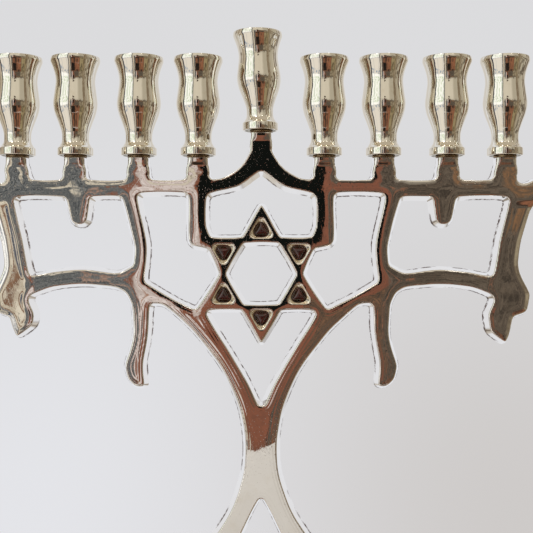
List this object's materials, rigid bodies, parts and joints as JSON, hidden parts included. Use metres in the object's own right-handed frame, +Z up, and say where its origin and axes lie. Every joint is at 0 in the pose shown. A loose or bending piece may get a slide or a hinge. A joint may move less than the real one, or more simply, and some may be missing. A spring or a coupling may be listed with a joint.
{
  "type": "menorah",
  "caption": "Cast openwork candelabrum with a star set with small stones, a row of screw-on turned candle cups and a raised middle cup, on an oval base.",
  "frame": {"origin": "centre of the underside of the felt pad, on the table", "axes": "+X to the viewer's right along the row of cups, +Y away from the viewer (the front faces -Y), +Z up"},
  "size_m": [0.2414, 0.064, 0.2621],
  "materials": {
    "silver_plate": "mirror-polished silver plate, hand finished",
    "cup_silver": "lathe-turned, mirror polished, warm silver plate",
    "washer_brass": "dark tarnished brass",
    "stud_steel": "zinc-plated screw thread",
    "steel": "zinc-plated steel",
    "garnet": "polished domed dark red stone",
    "felt": "dark green felt"
  },
  "bodies": {
    "frame": {"frame": "silver_plate", "base": "silver_plate", "base_screws": "steel", "base_washers": "steel", "felt_pad": "felt", "cup_studs": "stud_steel", "star_stone_top": "garnet", "star_stone_upper_left": "garnet", "star_stone_lower_left": "garnet", "star_stone_bottom": "garnet", "star_stone_lower_right": "garnet", "star_stone_upper_right": "garnet"},
    "cup_washer_1": {"cup_washer_1": "washer_brass"},
    "candle_cup_1": {"candle_cup_1": "cup_silver"},
    "cup_washer_2": {"cup_washer_2": "washer_brass"},
    "candle_cup_2": {"candle_cup_2": "cup_silver"},
    "cup_washer_3": {"cup_washer_3": "washer_brass"},
    "candle_cup_3": {"candle_cup_3": "cup_silver"},
    "cup_washer_4": {"cup_washer_4": "washer_brass"},
    "candle_cup_4": {"candle_cup_4": "cup_silver"},
    "cup_washer_5": {"cup_washer_5": "washer_brass"},
    "candle_cup_5": {"candle_cup_5": "cup_silver"},
    "cup_washer_6": {"cup_washer_6": "washer_brass"},
    "candle_cup_6": {"candle_cup_6": "cup_silver"},
    "cup_washer_7": {"cup_washer_7": "washer_brass"},
    "candle_cup_7": {"candle_cup_7": "cup_silver"},
    "cup_washer_8": {"cup_washer_8": "washer_brass"},
    "candle_cup_8": {"candle_cup_8": "cup_silver"},
    "shamash_washer": {"shamash_washer": "washer_brass"},
    "shamash_cup": {"shamash_cup": "cup_silver"}
  },
  "joints": [
    {"name": "cup_1_lift", "type": "slide", "parent": "frame", "child": "cup_washer_1", "axis": [0, 0, 1], "range_m": [0, 0.0056]},
    {"name": "cup_1_unscrew", "type": "hinge", "parent": "cup_washer_1", "child": "candle_cup_1", "pos_m": [-0.1044, 0, 0.2095], "axis": [0, 0, 1], "range_deg": [0, 2881]},
    {"name": "cup_2_lift", "type": "slide", "parent": "frame", "child": "cup_washer_2", "axis": [0, 0, 1], "range_m": [0, 0.0056]},
    {"name": "cup_2_unscrew", "type": "hinge", "parent": "cup_washer_2", "child": "candle_cup_2", "pos_m": [-0.0796, 0, 0.2095], "axis": [0, 0, 1], "range_deg": [0, 2881]},
    {"name": "cup_3_lift", "type": "slide", "parent": "frame", "child": "cup_washer_3", "axis": [0, 0, 1], "range_m": [0, 0.0056]},
    {"name": "cup_3_unscrew", "type": "hinge", "parent": "cup_washer_3", "child": "candle_cup_3", "pos_m": [-0.0524, 0, 0.2095], "axis": [0, 0, 1], "range_deg": [0, 2881]},
    {"name": "cup_4_lift", "type": "slide", "parent": "frame", "child": "cup_washer_4", "axis": [0, 0, 1], "range_m": [0, 0.0056]},
    {"name": "cup_4_unscrew", "type": "hinge", "parent": "cup_washer_4", "child": "candle_cup_4", "pos_m": [-0.027, 0, 0.2095], "axis": [0, 0, 1], "range_deg": [0, 2881]},
    {"name": "cup_5_lift", "type": "slide", "parent": "frame", "child": "cup_washer_5", "axis": [0, 0, 1], "range_m": [0, 0.0056]},
    {"name": "cup_5_unscrew", "type": "hinge", "parent": "cup_washer_5", "child": "candle_cup_5", "pos_m": [0.027, 0, 0.2095], "axis": [0, 0, 1], "range_deg": [0, 2881]},
    {"name": "cup_6_lift", "type": "slide", "parent": "frame", "child": "cup_washer_6", "axis": [0, 0, 1], "range_m": [0, 0.0056]},
    {"name": "cup_6_unscrew", "type": "hinge", "parent": "cup_washer_6", "child": "candle_cup_6", "pos_m": [0.0524, 0, 0.2095], "axis": [0, 0, 1], "range_deg": [0, 2881]},
    {"name": "cup_7_lift", "type": "slide", "parent": "frame", "child": "cup_washer_7", "axis": [0, 0, 1], "range_m": [0, 0.0056]},
    {"name": "cup_7_unscrew", "type": "hinge", "parent": "cup_washer_7", "child": "candle_cup_7", "pos_m": [0.0796, 0, 0.2095], "axis": [0, 0, 1], "range_deg": [0, 2881]},
    {"name": "cup_8_lift", "type": "slide", "parent": "frame", "child": "cup_washer_8", "axis": [0, 0, 1], "range_m": [0, 0.0056]},
    {"name": "cup_8_unscrew", "type": "hinge", "parent": "cup_washer_8", "child": "candle_cup_8", "pos_m": [0.1044, 0, 0.2095], "axis": [0, 0, 1], "range_deg": [0, 2881]},
    {"name": "shamash_lift", "type": "slide", "parent": "frame", "child": "shamash_washer", "axis": [0, 0, 1], "range_m": [0, 0.0056]},
    {"name": "shamash_unscrew", "type": "hinge", "parent": "shamash_washer", "child": "shamash_cup", "pos_m": [0, 0, 0.2202], "axis": [0, 0, 1], "range_deg": [0, 2881]}
  ],
  "couplings": [
    {"joint": "cup_1_unscrew", "follows": "cup_1_lift", "rad_per_m": 8976},
    {"joint": "cup_2_unscrew", "follows": "cup_2_lift", "rad_per_m": 8976},
    {"joint": "cup_3_unscrew", "follows": "cup_3_lift", "rad_per_m": 8976},
    {"joint": "cup_4_unscrew", "follows": "cup_4_lift", "rad_per_m": 8976},
    {"joint": "cup_5_unscrew", "follows": "cup_5_lift", "rad_per_m": 8976},
    {"joint": "cup_6_unscrew", "follows": "cup_6_lift", "rad_per_m": 8976},
    {"joint": "cup_7_unscrew", "follows": "cup_7_lift", "rad_per_m": 8976},
    {"joint": "cup_8_unscrew", "follows": "cup_8_lift", "rad_per_m": 8976},
    {"joint": "shamash_unscrew", "follows": "shamash_lift", "rad_per_m": 8976}
  ]
}
